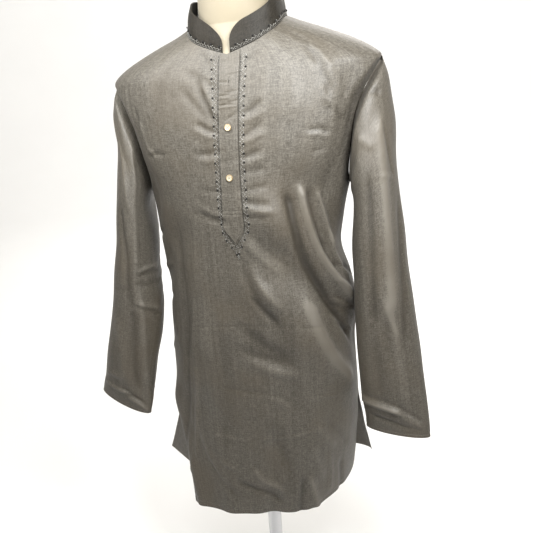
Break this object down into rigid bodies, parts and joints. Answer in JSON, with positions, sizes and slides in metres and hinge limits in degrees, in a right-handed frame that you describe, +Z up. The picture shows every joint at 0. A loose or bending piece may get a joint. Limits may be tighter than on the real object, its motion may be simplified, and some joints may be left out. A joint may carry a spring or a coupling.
{
  "type": "kurta tunic on a limbless dress form",
  "caption": "Long-sleeved cotton kurta tunic with a stand collar, buttoned neck placket and side slits, worn by a limbless torso form on a pole and round base.",
  "frame": {"origin": "centre of the base plate's underside, on the floor", "axes": "+Z up along the pole; the garment's front faces -Y and its wearer's left is +X"},
  "size_m": [0.6353, 0.3, 1.335],
  "materials": {
    "grey_cotton": "woven chambray",
    "grey_cotton_band": "woven chambray, doubled",
    "cream_button": "satin",
    "cream_form": "smooth, matte",
    "brushed_steel": "brushed"
  },
  "bodies": {
    "root": {"front_panel": "grey_cotton", "back_panel": "grey_cotton", "sleeve_left": "grey_cotton", "sleeve_right": "grey_cotton", "collar": "grey_cotton_band", "placket": "grey_cotton_band", "button_1": "cream_button", "button_2": "cream_button", "form_torso": "cream_form", "pole": "brushed_steel", "base_plate": "brushed_steel"}
  },
  "joints": []
}
